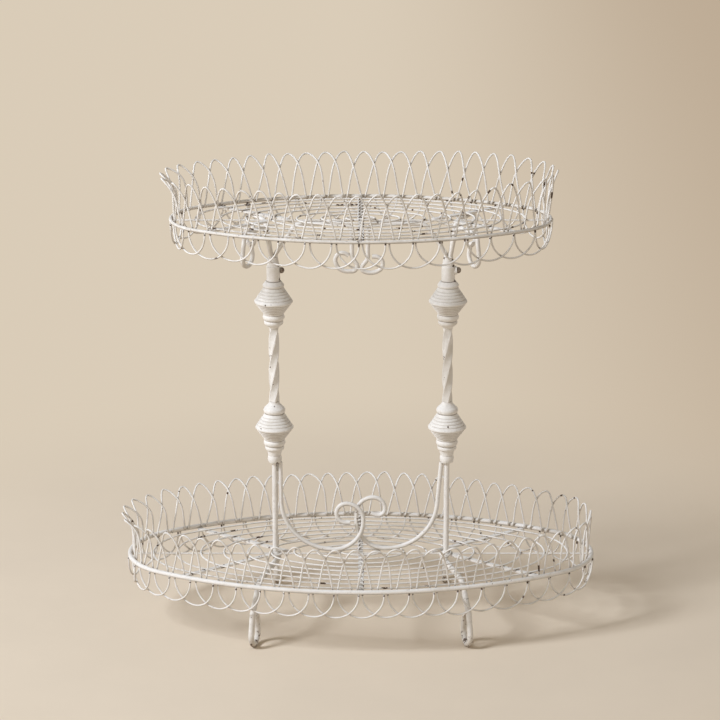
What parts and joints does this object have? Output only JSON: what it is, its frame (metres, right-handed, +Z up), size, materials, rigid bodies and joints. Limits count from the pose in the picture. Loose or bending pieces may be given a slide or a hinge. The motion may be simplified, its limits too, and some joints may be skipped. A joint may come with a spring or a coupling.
{
  "type": "two-tier oval wirework plant stand",
  "caption": "Two-tier oval wirework plant stand: looped wire trays with hoop galleries and hanging skirts on two turned posts, the upper tray lifting out of sockets.",
  "frame": {"origin": "on the floor under the middle of the stand, at the bottom centre of its box", "axes": "+X along the trays to the right as seen from the front, +Y to the back, +Z up"},
  "size_m": [0.825, 0.4296, 0.789],
  "materials": {
    "painted_wire": "satin, chalky and chipped",
    "painted_casting": "satin, chalky and worn",
    "screw_steel": "dull and rusty"
  },
  "bodies": {
    "stand": {"lower_rim": "painted_wire", "lower_floor_rings": "painted_wire", "lower_long_spine": "painted_wire", "lower_cross_spine": "painted_wire", "lower_front_bars": "painted_wire", "lower_back_bars": "painted_wire", "lower_gallery_hoops": "painted_wire", "lower_skirt_loops": "painted_wire", "front_left_leg": "painted_wire", "front_right_leg": "painted_wire", "back_left_leg": "painted_wire", "back_right_leg": "painted_wire", "left_base_plate": "painted_wire", "left_post_rod": "painted_wire", "left_scroll_brace": "painted_wire", "left_ferrule": "painted_casting", "left_lower_knob": "painted_casting", "left_twisted_bar": "painted_wire", "left_upper_knob": "painted_casting", "left_socket": "painted_casting", "right_base_plate": "painted_wire", "right_post_rod": "painted_wire", "right_scroll_brace": "painted_wire", "right_ferrule": "painted_casting", "right_lower_knob": "painted_casting", "right_twisted_bar": "painted_wire", "right_upper_knob": "painted_casting", "right_socket": "painted_casting"},
    "upper_tier": {"upper_rim": "painted_wire", "upper_floor_rings": "painted_wire", "upper_long_spine": "painted_wire", "upper_cross_spine": "painted_wire", "upper_front_bars": "painted_wire", "upper_back_bars": "painted_wire", "upper_gallery_hoops": "painted_wire", "upper_skirt_loops": "painted_wire", "left_stem": "painted_casting", "right_stem": "painted_casting", "left_inner_arm": "painted_wire", "right_inner_arm": "painted_wire", "front_left_arm": "painted_wire", "front_right_arm": "painted_wire", "back_left_arm": "painted_wire", "back_right_arm": "painted_wire"},
    "left_set_screw": {"left_set_screw": "screw_steel"},
    "right_set_screw": {"right_set_screw": "screw_steel"}
  },
  "joints": [
    {"name": "upper_tier_lift", "type": "slide", "parent": "stand", "child": "upper_tier", "axis": [0, 0, 1], "range_m": [0, 0.12]},
    {"name": "left_screw_turn", "type": "hinge", "parent": "stand", "child": "left_set_screw", "pos_m": [-0.135, 0, 0.62205], "axis": [1, 0, 0], "continuous": true},
    {"name": "right_screw_turn", "type": "hinge", "parent": "stand", "child": "right_set_screw", "pos_m": [0.163, 0, 0.62205], "axis": [1, 0, 0], "continuous": true}
  ]
}
